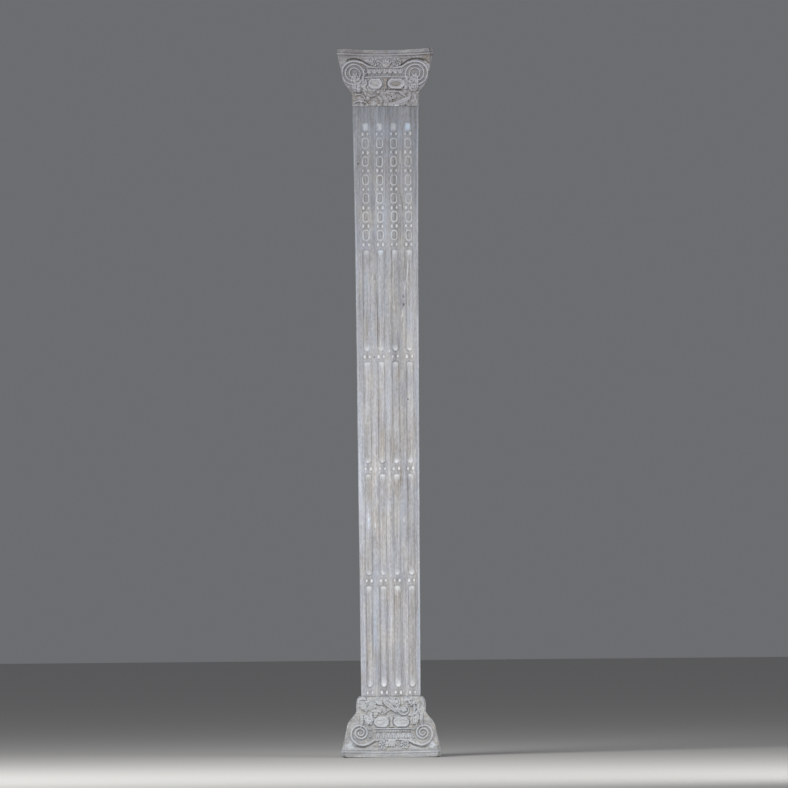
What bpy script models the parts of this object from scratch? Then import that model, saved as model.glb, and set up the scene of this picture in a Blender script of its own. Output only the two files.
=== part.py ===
"""Carved wooden pillar: a square fluted shaft standing on a carved base and wearing a carved capital."""

import math

import bmesh
import bpy
from mathutils import Matrix, Vector

# Overall sizes, in metres
object_height = 2.200
base_height = 0.190
capital_height = 0.180
seam_gap = 0.0003

# Shaft: half width at the foot, what it gains evenly, and what it gains in a flare under the capital
shaft_foot_half = 0.0924
shaft_even_gain = 0.0070
shaft_flare_gain = 0.0043
shaft_flare_power = 6
shaft_stations = 6
arris_ease = 0.0025

# Strips of carving on the shaft
strip_count = 4
strip_pitch = 0.0440
strip_shift = 0.0015
flute_width = 0.0210
flute_depth = 0.0055
tier_gap = 0.0305
tier_count = 4
first_flute_rise = 0.0270
frame_pitch = 0.0572
frame_count = 6
frame_height = 0.0340
frame_width = 0.0230
frame_groove = 0.0052
frame_groove_depth = 0.0028
scoop_height = 0.0270
scoop_width = 0.0195
scoop_gap = 0.0085
plain_head = 0.04925
side_flute_foot = 0.0300
side_flute_head = 0.0500

# Blocks: half widths at the horns, at the knee under the volutes and at the collar by the shaft
capital_horn_half = 0.1495
base_horn_half = 0.1565
capital_knee_half = 0.1345
base_knee_half = 0.1380
base_collar_half = 0.1078
block_middle_half = 0.1165
horn_facet = 0.0150
horn_facet_depth = 0.0600
fascia_depth = 0.0185
fascia_step = 0.0025
knee_depth = 0.0900
collar_depth = 0.1460
base_shoulder = 0.0200
arc_segments = 6

# Ornament, each depth measured from the outer end of its block
volute_offset = 0.0970
volute_depth = 0.0765
volute_radius = 0.0300
volute_shrink = 0.78
volute_turns = 1.9
band_ratio = 0.22
scroll_half = 0.0570
scroll_top = 0.0300
scroll_foot = 0.0560
egg_depth = 0.0730
egg_pitch = 0.0162
egg_count = 7
egg_height = 0.0230
egg_width = 0.0125
fillet_depth = 0.0885
fillet_height = 0.0035
cartouche_depth = 0.1100
cartouche_height = 0.0330
cartouche_width = 0.0500
cartouche_offset = 0.0355
reel_width = 0.0110
ornament_rise = 0.0035
leaf_depth = 0.1520
leaf_length = 0.0420
leaf_width = 0.0150
leaf_rise = 0.0045

shaft_foot = base_height + seam_gap
shaft_head = object_height - capital_height - seam_gap

# The flutes share out the length that the frames and scoops leave them
scoop_foot = shaft_head - plain_head - scoop_height
frames_foot = scoop_foot - scoop_gap - frame_pitch * frame_count
flute_foot = base_height + first_flute_rise
tier_pitch = (frames_foot + tier_gap / 2 - flute_foot) / tier_count
flute_length = tier_pitch - tier_gap


def clear_scene():
    for obj in list(bpy.data.objects):
        bpy.data.objects.remove(obj)


def collection(name, hidden):
    found = bpy.data.collections.new(name)
    bpy.context.scene.collection.children.link(found)
    found.hide_render = hidden
    return found


def wood(name, tone):
    """A painted wood finish: the flat colour and roughness of one piece."""
    material = bpy.data.materials.new(name)
    material.use_nodes = True
    shader = material.node_tree.nodes["Principled BSDF"]
    shader.inputs["Base Color"].default_value = (tone, tone * 0.99, tone * 0.97, 1)
    shader.inputs["Roughness"].default_value = 0.8
    return material


def add_object(name, bm, home, material=None):
    bmesh.ops.recalc_face_normals(bm, faces=bm.faces)
    mesh = bpy.data.meshes.new(name)
    bm.to_mesh(mesh)
    bm.free()
    obj = bpy.data.objects.new(name, mesh)
    home.objects.link(obj)
    if material:
        mesh.materials.append(material)
    return obj


def loft(bm, rings):
    """Join rings of equal length into a tube and close its two ends."""
    layers = [[bm.verts.new(point) for point in ring] for ring in rings]
    count = len(layers[0])
    for low, high in zip(layers, layers[1:]):
        for i in range(count):
            j = (i + 1) % count
            bm.faces.new((low[i], low[j], high[j], high[i]))
    bm.faces.new(layers[0])
    bm.faces.new(layers[-1])


def ring_loft(bm, rings):
    """Join rings in a loop, so that the solid is a closed hoop."""
    layers = [[bm.verts.new(point) for point in ring] for ring in rings]
    count = len(layers[0])
    for k, low in enumerate(layers):
        high = layers[(k + 1) % len(layers)]
        for i in range(count):
            j = (i + 1) % count
            bm.faces.new((low[i], low[j], high[j], high[i]))


def cut_or_join(target, other, operation):
    modifier = target.modifiers.new(operation.title(), "BOOLEAN")
    modifier.operation = operation
    modifier.solver = "EXACT"
    modifier.use_self = operation == "UNION"
    modifier.object = other
    other.display_type = "WIRE"
    other.hide_render = True


def smooth_rise(t):
    return math.sin(math.pi / 2 * max(0.0, min(1.0, t)) ** 0.8) ** 2


def mix(low, high, t):
    return low + (high - low) * t


def shaft_half(z):
    """Half width of the shaft at a height, the same on its four sides."""
    t = (z - base_height) / (object_height - capital_height - base_height)
    return shaft_foot_half + shaft_even_gain * t + shaft_flare_gain * max(t, 0) ** shaft_flare_power


def square_ring(half, ease, z):
    """Plan of the shaft: a square with its arrises eased."""
    points = []
    for quarter in range(4):
        turn = Matrix.Rotation(math.pi / 2 * quarter, 3, "Z")
        for x, y in ((ease - half, -half), (half - ease, -half)):
            points.append(turn @ Vector((x, y, z)))
    return points


class Block:
    """The flaring block of the capital or of the base, with depth measured in from its outer end."""

    def __init__(self, upward, height, horn, knee, collar, neck):
        self.upward = upward
        self.height = height
        self.horn = horn
        self.knee = knee
        self.collar = collar
        self.neck = neck

    def level(self, depth):
        return object_height - depth if self.upward else depth

    def corner(self, depth):
        """Half width across the corners, which is the outline seen from the front."""
        if depth <= fascia_depth:
            return self.horn
        start = self.horn - fascia_step
        if depth <= knee_depth:
            return mix(start, self.knee, (depth - fascia_depth) / (knee_depth - fascia_depth))
        half = self.collar
        if depth < collar_depth:
            rise = smooth_rise((collar_depth - depth) / (collar_depth - knee_depth))
            half = mix(self.collar, self.knee, rise)
        shoulder = self.height - base_shoulder
        if depth > shoulder:
            t = (depth - shoulder) / base_shoulder
            half = mix(self.neck, self.collar, math.sqrt(max(0.0, 1 - t * t)))
        return half

    def middle(self, depth):
        """Half width at the middle of a side, which is hollow between the horns."""
        corner = self.corner(depth)
        hollow = mix(block_middle_half, min(self.collar, corner), min(1.0, depth / collar_depth))
        return min(hollow, corner)

    def facet(self, depth):
        """The cut across each horn, a triangle that closes to the eased arris above the volute."""
        return mix(horn_facet, arris_ease, min(1.0, depth / horn_facet_depth))

    def face(self, x, depth):
        """How far a side stands out from the axis, at a place across and a depth."""
        corner, middle = self.corner(depth), self.middle(depth)
        reach = min(1.0, abs(x) / (corner - self.facet(depth)))
        return mix(middle, corner, reach ** 2)

    def ring(self, depth, inset=0.0):
        corner = self.corner(depth)
        edge = corner - self.facet(depth)
        points = []
        for quarter in range(4):
            turn = Matrix.Rotation(math.pi / 2 * quarter, 3, "Z")
            for i in range(arc_segments + 1):
                x = edge * (2 * i / arc_segments - 1)
                y = -self.face(x, depth) + inset
                points.append(turn @ Vector((x * (1 - inset / corner), y, self.level(depth))))
        return points

    def place(self, x, depth, rise, quarter):
        """A point of the ornament, standing a given rise off one of the four sides."""
        turn = Matrix.Rotation(math.pi / 2 * quarter, 3, "Z")
        return turn @ Vector((x, -self.face(x, depth) - rise, self.level(depth)))


def block_body(block):
    bm = bmesh.new()
    steps = [(0.0, 0.0015), (0.0015, 0.0), (fascia_depth, 0.0), (fascia_depth + 0.0001, 0.0)]
    steps += [(horn_facet_depth, 0.0), (knee_depth, 0.0)]
    count = 5
    steps += [(mix(knee_depth, collar_depth, i / count), 0.0) for i in range(1, count + 1)]
    if block.collar > block.neck:
        count = 3
        start = block.height - base_shoulder
        steps += [(start + base_shoulder * math.sin(math.pi / 2 * i / count), 0.0) for i in range(count + 1)]
    else:
        steps.append((block.height, 0.0))
    loft(bm, [block.ring(depth, inset) for depth, inset in steps])
    return bm


def octagon_boss(bm, block, quarter, x, depth, width, height, steps):
    """A cut-cornered panel built of shrinking outlines that follow the hollow side."""
    rings = []
    for size, rise in steps:
        ring = []
        for sx, sz in ((-1, 0.35), (-0.62, 1), (0.62, 1), (1, 0.35), (1, -0.35), (0.62, -1), (-0.62, -1), (-1, -0.35)):
            across = x + sx * (width / 2 - size)
            down = depth + sz * (height / 2 - size)
            ring.append(block.place(across, down, rise, quarter))
        rings.append(ring)
    loft(bm, rings)


def bead(bm, block, quarter, x, depth, half_sizes, tilt=0.0, segments=(8, 6), rise=0.0):
    """A rounded lump on a side: an egg, a leaf or a berry, turned in the plane of the side."""
    made = bmesh.ops.create_uvsphere(bm, u_segments=segments[0], v_segments=segments[1], radius=1)["verts"]
    across, out, down = half_sizes
    turn = Matrix.Rotation(math.pi / 2 * quarter, 4, "Z")
    sign = 1 if block.upward else -1
    centre = Vector((x, -block.face(x, depth) - rise, block.level(depth)))
    lay = Matrix.Rotation(sign * tilt, 4, "Y")
    size = Matrix.Diagonal((across, out, down, 1))
    bmesh.ops.transform(bm, matrix=turn @ Matrix.Translation(centre) @ lay @ size, verts=made)


def bar(bm, block, quarter, half_length, depth, height, rise, segments=2):
    """A straight fillet that follows the hollow of a side."""
    rings = []
    for i in range(segments + 1):
        x = half_length * (2 * i / segments - 1)
        corners = ((-height / 2, -0.003), (-height / 2, rise), (height / 2, rise), (height / 2, -0.003))
        rings.append([block.place(x, depth + down, out, quarter) for down, out in corners])
    loft(bm, rings)


def plain_volute(bm, block, quarter, side):
    """The same scroll on a plainer side: a raised disc with an eye."""
    rings = []
    count = 8
    for radius, rise in ((1.2, -0.004), (1.15, 0.0040), (0.65, 0.0010), (0.20, 0.0040)):
        ring = []
        for i in range(count):
            angle = 2 * math.pi * i / count
            x = side * volute_offset + radius * volute_radius * math.cos(angle)
            ring.append(block.place(x, volute_depth + radius * volute_radius * math.sin(angle), rise, quarter))
        rings.append(ring)
    loft(bm, rings)


def volute(block, quarter, side, helpers, steps):
    """A scroll: a band that runs from the middle panel over the volute and winds into its eye."""
    path = [(side * 0.040, scroll_foot + 0.001, 0.0024), (side * 0.052, scroll_foot - 0.003, 0.0036)]
    start = math.radians(118)
    for i in range(steps + 1):
        turns = volute_turns * i / steps
        radius = volute_radius * math.exp(-volute_shrink * turns)
        angle = start - 2 * math.pi * turns
        x = side * (volute_offset + radius * math.cos(angle))
        path.append((x, volute_depth - radius * math.sin(angle), band_ratio * radius + 0.0006))
    curve = bpy.data.curves.new("volute_path", "CURVE")
    curve.dimensions = "3D"
    curve.bevel_depth = 1.0
    curve.bevel_resolution = 0
    curve.use_fill_caps = True
    spline = curve.splines.new("POLY")
    spline.points.add(len(path) - 1)
    for point, (x, depth, width) in zip(spline.points, path):
        point.co = (*block.place(x, depth, 0.0, quarter), 1)
        point.radius = width
    obj = bpy.data.objects.new("volute_path", curve)
    helpers.objects.link(obj)
    mesh = bpy.data.meshes.new_from_object(obj)
    bpy.data.objects.remove(obj)
    bm = bmesh.new()
    bm.from_mesh(mesh)
    bmesh.ops.remove_doubles(bm, verts=bm.verts, dist=0.0001)
    return bm


def merged(parts):
    """One bmesh holding several, each still a closed solid of its own."""
    whole = bmesh.new()
    for bm in parts:
        mesh = bpy.data.meshes.new("part")
        bm.to_mesh(mesh)
        bm.free()
        whole.from_mesh(mesh)
        bpy.data.meshes.remove(mesh)
    return whole


def ornament(block, helpers):
    """Everything that stands up from the four sides of a block."""
    bm = bmesh.new()
    volutes = []
    cartouche = ((0.0, -0.004), (0.0010, ornament_rise), (0.0040, ornament_rise),
                 (0.0070, 0.0004), (0.0110, ornament_rise * 0.8))
    for quarter in range(4):
        front = quarter == 0
        for side in (-1, 1):
            if not front:
                plain_volute(bm, block, quarter, side)
                continue
            volutes.append(volute(block, quarter, side, helpers, 18))
            octagon_boss(bm, block, quarter, side * cartouche_offset, cartouche_depth, cartouche_width,
                         cartouche_height, cartouche)
        if not front:
            continue
        bar(bm, block, quarter, scroll_half, fillet_depth, fillet_height, 0.0025)
        octagon_boss(bm, block, quarter, 0, cartouche_depth, reel_width, cartouche_height,
                     ((0.0, -0.004), (0.0, 0.0015), (0.0020, ornament_rise)))
        bar(bm, block, quarter, scroll_half - 0.012, scroll_foot, 0.0045, 0.0035)
        for i in range(egg_count):
            x = egg_pitch * (i - (egg_count - 1) / 2)
            bead(bm, block, quarter, x, egg_depth, (egg_width / 2, 0.0055, egg_height / 2), 0, (6, 4))
        scroll_middle = (scroll_top + scroll_foot) / 2
        for side in (-1, 1):
            bead(bm, block, quarter, side * 0.031, scroll_middle, (0.0100, 0.0045, 0.0100), 0, (8, 4))
            bead(bm, block, quarter, side * 0.012, scroll_middle + 0.002, (0.0045, 0.0040, 0.0090), side * 0.9, (6, 4))
        bead(bm, block, quarter, 0, scroll_middle - 0.001, (0.0048, 0.0045, 0.0095), 0, (6, 4))
        leaves(bm, block)
    return volutes, bm


def leaves(bm, block):
    """The band of leaves by the shaft and the sprigs that hang beside the volutes."""
    half = (leaf_width / 2, leaf_rise, leaf_length / 2)
    for side in (-1, 1):
        bead(bm, block, 0, side * 0.013, leaf_depth, half, side * 0.85, (6, 4))
        bead(bm, block, 0, side * 0.044, leaf_depth + 0.002, half, side * 1.25, (6, 4))
        bead(bm, block, 0, side * 0.076, leaf_depth + 0.003, (0.0120, leaf_rise, 0.0120), 0, (8, 4))
        bead(bm, block, 0, side * 0.084, leaf_depth - 0.026, (0.0060, leaf_rise, 0.0200), side * 0.35, (6, 4))
        bead(bm, block, 0, side * 0.068, cartouche_depth - 0.006, (0.0050, leaf_rise, 0.0150), side * -0.5, (6, 4))
        bead(bm, block, 0, side * 0.066, volute_depth - 0.010, (0.0035, 0.0040, 0.0035), 0, (6, 4))
        bead(bm, block, 0, side * 0.090, volute_depth + 0.030, (0.0035, 0.0040, 0.0035), 0, (6, 4))


def flute_cutter(bm, x, foot, head, width, depth, quarter):
    """A hollow with round ends, sunk the same depth wherever it crosses the tapering side."""
    radius = ((width / 2) ** 2 + depth ** 2) / (2 * depth)
    shrink = radius - width / 2
    turn = Matrix.Rotation(math.pi / 2 * quarter, 3, "Z")
    around, along = 10, 3
    spans = [foot - shrink + radius, head + shrink - radius]
    rings = []
    for end, sign in ((spans[0], -1), (spans[1], 1)):
        for i in range(along):
            step = along - 1 - i if sign < 0 else i
            lift = math.pi / 2 * step / (along - 0.6)
            z = end + sign * radius * math.sin(lift)
            size = radius * math.cos(lift)
            out = shaft_half(z) - depth + radius
            ring = []
            for k in range(around):
                angle = 2 * math.pi * (k + 0.5) / around
                ring.append(turn @ Vector((x + size * math.cos(angle), -out + size * math.sin(angle), z)))
            rings.append(ring)
    loft(bm, rings)


def frame_cutter(bm, x, z):
    """A cut-cornered groove round an oblong boss."""
    def outline(inset, rise):
        ring = []
        for sx, sz in ((-1, 0.45), (-0.45, 1), (0.45, 1), (1, 0.45), (1, -0.45), (0.45, -1), (-0.45, -1), (-1, -0.45)):
            px = x + sx * (frame_width / 2 - inset)
            pz = z + sz * (frame_height / 2 - inset)
            ring.append(Vector((px, -shaft_half(pz) - rise, pz)))
        return ring
    ring_loft(bm, [outline(-0.0006, 0.001), outline(frame_groove / 2, -frame_groove_depth),
                   outline(frame_groove + 0.0006, 0.001)])


def shaft_cutters():
    bm = bmesh.new()
    strips = [strip_shift + strip_pitch * (i - (strip_count - 1) / 2) for i in range(strip_count)]
    for x in strips:
        for tier in range(tier_count):
            foot = flute_foot + tier * tier_pitch
            flute_cutter(bm, x, foot, foot + flute_length, flute_width, flute_depth, 0)
        for i in range(frame_count):
            frame_cutter(bm, x, frames_foot + frame_pitch * (i + 0.5))
        flute_cutter(bm, x, scoop_foot, scoop_foot + scoop_height, scoop_width, flute_depth * 0.8, 0)
        for quarter in (1, 2, 3):
            flute_cutter(bm, x - strip_shift, shaft_foot + side_flute_foot, shaft_head - side_flute_head,
                         flute_width, flute_depth, quarter)
    return bm


def build():
    clear_scene()
    pillar = collection("wooden_pillar", False)
    helpers = collection("cutters", True)

    bm = bmesh.new()
    rings = []
    for i in range(shaft_stations + 1):
        z = mix(shaft_foot, shaft_head, 1 - (1 - i / shaft_stations) ** 1.6)
        rings.append(square_ring(shaft_half(z), arris_ease, z))
    loft(bm, rings)
    shaft = add_object("shaft", bm, pillar, wood("shaft_wood", 0.42))
    cut_or_join(shaft, add_object("shaft_carving", shaft_cutters(), helpers), "DIFFERENCE")

    blocks = {
        "base": Block(False, base_height, base_horn_half, base_knee_half, base_collar_half, shaft_half(shaft_foot)),
        "capital": Block(True, capital_height, capital_horn_half, capital_knee_half,
                         shaft_half(shaft_head), shaft_half(shaft_head)),
    }
    for name, block in blocks.items():
        body = add_object(name, block_body(block), pillar, wood(name + "_wood", 0.38))
        volutes, lumps = ornament(block, helpers)
        cut_or_join(body, add_object(name + "_lumps", lumps, helpers), "UNION")
        cut_or_join(body, add_object(name + "_volutes", merged(volutes), helpers), "UNION")


build()
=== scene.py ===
import math

import bpy
import numpy as np
from mathutils import Matrix, Vector


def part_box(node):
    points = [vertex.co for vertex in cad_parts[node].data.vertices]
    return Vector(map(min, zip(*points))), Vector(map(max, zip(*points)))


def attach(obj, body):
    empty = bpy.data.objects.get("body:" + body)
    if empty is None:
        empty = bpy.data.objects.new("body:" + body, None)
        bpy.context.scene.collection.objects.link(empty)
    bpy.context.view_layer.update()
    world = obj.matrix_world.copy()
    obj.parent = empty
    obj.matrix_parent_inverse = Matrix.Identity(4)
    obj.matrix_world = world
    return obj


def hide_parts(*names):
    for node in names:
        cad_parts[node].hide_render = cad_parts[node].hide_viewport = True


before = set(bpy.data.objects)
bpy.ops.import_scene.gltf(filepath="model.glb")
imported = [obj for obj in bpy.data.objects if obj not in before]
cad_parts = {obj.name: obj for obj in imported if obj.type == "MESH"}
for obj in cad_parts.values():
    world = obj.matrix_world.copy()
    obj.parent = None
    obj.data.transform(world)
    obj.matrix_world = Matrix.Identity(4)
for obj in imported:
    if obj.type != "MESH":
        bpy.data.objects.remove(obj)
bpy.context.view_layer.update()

mm = 0.001  # the carving below is laid out in millimetres


def boxOf(node):
    low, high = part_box(node)
    return Vector(low), Vector(high)


baseLow, baseHigh = boxOf("base")
shaftLow, shaftHigh = boxOf("shaft")
capitalLow, capitalHigh = boxOf("capital")


# small tools for the carving

def unit(v):
    return np.clip(v, 0, 1)


def ease(a, b, v):
    t = unit((v - a) / (b - a))
    return t * t * (3.0 - 2.0 * t)


def mix(a, b, t):
    return a + (b - a) * t


def bell(v, width):
    return np.exp(-(v / width) ** 2)


def blot(x, y, wide, tall):
    return np.exp(-(x / wide) ** 2 - (y / tall) ** 2)


def dome(q):
    return np.sqrt(unit(1 - q * q))


def polar(x, d, radius, turn):
    return x + radius * math.cos(turn), d + radius * math.sin(turn)


def across(cx, side, *points):
    # points set out from a middle line, and turned over where side is -1
    return [(cx + side * x, d) for x, d in points]


def ripple(x, y, sizeX, sizeY, seed):
    # smooth random waves, from -0.5 to 0.5
    lattice = np.random.default_rng(seed).random((128, 128))
    u, v = np.asarray(x, float) / sizeX + 40.0, np.asarray(y, float) / sizeY + 40.0
    i, j = np.floor(u).astype(int), np.floor(v).astype(int)
    fu, fv = u - i, v - j
    fu, fv = fu * fu * (3 - 2 * fu), fv * fv * (3 - 2 * fv)
    i, j, k, l = i % 128, j % 128, (i + 1) % 128, (j + 1) % 128
    low = lattice[i, j] * (1 - fu) + lattice[k, j] * fu
    high = lattice[i, l] * (1 - fu) + lattice[k, l] * fu
    return low * (1 - fv) + high * fv - 0.5


def blurred(height, radius):
    # mean height round each place, in grid steps
    out = height
    for axis in (0, 1):
        width = int(radius[axis])
        if width < 1:
            continue
        pad = [(width + 1, width) if a == axis else (0, 0) for a in (0, 1)]
        total = np.cumsum(np.pad(out, pad, mode="edge"), axis=axis)
        span = 2 * width + 1
        out = (np.take(total, range(span, total.shape[axis]), axis)
               - np.take(total, range(0, total.shape[axis] - span), axis)) / span
    return out


def cells(x, y, size, seed):
    # distance to the nearest of a field of scattered points, in cell widths
    spots = np.random.default_rng(seed).random((2, 64, 64))
    u, v = x / size + 30.0, y / size + 30.0
    i, j = np.floor(u).astype(int), np.floor(v).astype(int)
    best = np.full(np.shape(u), 9.0)
    for a in (-1, 0, 1):
        for b in (-1, 0, 1):
            p, q = (i + a) % 64, (j + b) % 64
            best = np.minimum(best, np.hypot(i + a + 0.2 + 0.6 * spots[0, p, q] - u,
                                             j + b + 0.2 + 0.6 * spots[1, p, q] - v))
    return best


def bent(points):
    # three or more chosen points become a smooth run of short steps
    points = [np.array(p, float) for p in points]
    if len(points) < 3:
        return points
    ends = [2 * points[0] - points[1]] + points + [2 * points[-1] - points[-2]]
    run = []
    for a, b, c, d in zip(ends, ends[1:], ends[2:], ends[3:]):
        for t in np.linspace(0, 1, 6)[:-1]:
            run.append(0.5 * (2 * b + (c - a) * t + (2 * a - 5 * b + 4 * c - d) * t ** 2
                              + (3 * b - a - 3 * c + d) * t ** 3))
    return run + [points[-1]]


def oblong(x, d, width, height, cut):
    # signed distance to a cut-cornered panel, below zero inside
    px, pd = abs(x), abs(d)
    a, b = width / 2, height / 2
    slope = math.hypot(cut[0], cut[1])
    corner = (px * cut[1] + pd * cut[0] - (a * cut[1] + b * cut[0] - cut[0] * cut[1])) / slope
    return np.maximum(np.maximum(px - a, pd - b), corner)


class Relief:
    # a side of wood being carved: its height, the paint left on it with painted highlights, the dirt on it with
    # painted shade, and the wood laid bare

    def __init__(self, x, d):
        self.x, self.d = x, d
        self.height = np.zeros_like(x)
        self.pale = np.zeros_like(x)
        self.dark = np.zeros_like(x)
        self.bare = np.zeros_like(x)
        self.cool = np.zeros_like(x)

    def near(self, points, reach):
        # the places close to a line through the points, how far off it and how far along it each lies
        points = bent(points)
        low, high = np.min(points, 0) - reach, np.max(points, 0) + reach
        at = np.nonzero((self.x > low[0]) & (self.x < high[0]) & (self.d > low[1]) & (self.d < high[1]))
        x, d = self.x[at], self.d[at]
        lengths = [max(np.linalg.norm(b - a), 1e-6) for a, b in zip(points, points[1:])]
        best, along, done = np.full_like(x, 1e9), np.zeros_like(x), 0.0
        for a, b, length in zip(points, points[1:], lengths):
            step = (b - a) / length
            px, pd = x - a[0], d - a[1]
            t = np.clip(px * step[0] + pd * step[1], 0, length)
            gap = np.hypot(px - t * step[0], pd - t * step[1])
            closer = gap < best
            best = np.where(closer, gap, best)
            along = np.where(closer, (done + t) / sum(lengths), along)
            done += length
        return at, best, along

    def stain(self, layer, value, at=slice(None)):
        # a layer of paint and painted highlight, of dirt and painted shade, or of bareness is at least this
        # strong
        held = getattr(self, layer)
        held[at] = np.maximum(held[at], value)

    def outlined(self, at, outside, deep):
        # the gouge line left round a raised form, darkened with painted shade
        cut = np.where(outside > -0.6, bell(np.clip(outside, 0, None), 1.4), 0)
        self.height[at] -= 0.7 * deep * cut
        self.stain("dark", 0.18 * cut * min(deep, 1), at)

    def lift(self, at, inside, shape):
        self.height[at] = np.where(inside, np.maximum(self.height[at], shape), self.height[at])

    def ridge(self, points, width, high, taper=0.0, deep=1.0):
        at, gap, along = self.near(points, width + 4)
        half = np.maximum(width / 2 * (1 - taper * along), 0.5)
        q = gap / half
        self.outlined(at, gap - half, deep)
        self.lift(at, q < 1, high * dome(q))
        self.stain("pale", np.where(q < 0.7, 0.35, 0), at)

    def groove(self, points, width, deep, dark=0.0, pale=0.0):
        at, gap, along = self.near(points, width * 2)
        cut = bell(gap, width / 2) * ease(0, 0.1, along) * ease(0, 0.1, 1 - along)
        self.height[at] -= deep * cut
        self.stain("dark", dark * cut, at)
        self.pale[at] = np.maximum(self.pale[at] * (1 - cut * (dark > 0)), pale * cut)

    def leaf(self, points, width, high, lobes=0, base=0.0, vein=0.45, deep=1.2):
        # a pointed leaf on a bent midrib, with a sunk vein and, where it has lobes, ribs to each of them
        at, gap, along = self.near(points, width + 4)
        half = width / 2 * np.sin(math.pi * np.clip(along, 0.02, 0.99) ** 0.72) ** 0.7 + 0.3
        if lobes:
            half = half * (1 - 0.3 * abs(np.cos(math.pi * lobes * along)) ** 1.5)
        q = gap / half
        shape = high * (1 - unit(q) ** 3) * (1 - vein * bell(q, 0.2))
        if lobes:
            shape = shape * (0.84 + 0.16 * np.cos(2 * math.pi * (lobes * along - 0.8 * q)))
        self.outlined(at, gap - half, deep)
        self.lift(at, q < 1, base + shape * (0.75 + 0.25 * np.sin(math.pi * along)))
        self.stain("pale", np.where((q < 0.95) & (q > 0.3), 0.3, 0), at)

    def grains(self, points, width, high, size, seed, base=0.0):
        # a hanging spray of small berries in the outline of a leaf: the pale on each berry's top is a painted
        # highlight, the dark between them painted shade
        at, gap, along = self.near(points, width + 4)
        half = width / 2 * np.sin(math.pi * np.clip(along, 0.02, 0.99) ** 0.8) ** 0.6 + 1.0
        inside = gap < half
        away = cells(self.x[at], self.d[at], size, seed)
        lump = dome(away / 0.62)
        self.outlined(at, gap - half, 1.2)
        self.lift(at, inside, base + high * (0.35 + 0.65 * lump) * ease(1.0, 0.75, gap / half))
        self.pale[at] = np.where(inside, np.maximum(self.pale[at], 0.75 * lump ** 3), self.pale[at])
        self.dark[at] = np.where(inside, np.maximum(self.dark[at], 0.45 * (1 - lump)), self.dark[at])

    def around(self, x, d, reach):
        # the places close to one point, and how far off it each lies
        return self.near([(x, d), (x + 0.01, d)], reach)[:2]

    def berry(self, x, d, radius, high, deep=1.2):
        at, gap = self.around(x, d, radius + 5)
        q = gap / radius
        self.outlined(at, gap - radius, deep)
        self.lift(at, q < 1, high * dome(q))
        # the pale, strongest at the top of the berry, is a painted highlight
        self.stain("pale", 0.6 * unit(1 - q), at)

    def rosette(self, x, d, radius, petals, high, turn):
        for k in range(petals):
            a = 2 * math.pi * k / petals + turn
            petal = [polar(x, d, 0.15 * radius, a), polar(x, d, radius, a)]
            self.leaf(petal, 5.0 * radius / petals, high, deep=0.9)
        self.berry(x, d, radius * 0.26, high + 0.8)

    def swirl(self, x, d, outer, inner, start, turns, width, high):
        steps = int(14 * abs(turns)) + 4
        angles = start + np.linspace(0, 2 * math.pi * turns, steps)
        run = [polar(x, d, r, a) for r, a in zip(np.linspace(outer, inner, steps), angles)]
        self.ridge(run, width, high, taper=0.35)
        self.berry(x, d, max(inner * 0.75, 1.8), high)


def coatsAndShading(face, reach, ridges, hollowDirtAndShade):
    # paint wears and pools, and the hollows darken, by how far each place stands above or below what is round
    # it: the darkening is dirt and painted shade, and where ridges is above zero the pale on the high parts is
    # paint and painted highlight
    for size, share in ((reach, 0.6), (reach * 3, 0.4)):
        away = face.height - blurred(face.height, (size, size))
        face.pale = face.pale + share * (ridges * unit(away / 1.2) if ridges > 0
                                             else -ridges * unit(-away / 1.2))
        face.dark = face.dark + share * hollowDirtAndShade * np.clip(-away / 1.3, 0, 1.2)


# turning carved sides into a piece

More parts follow.
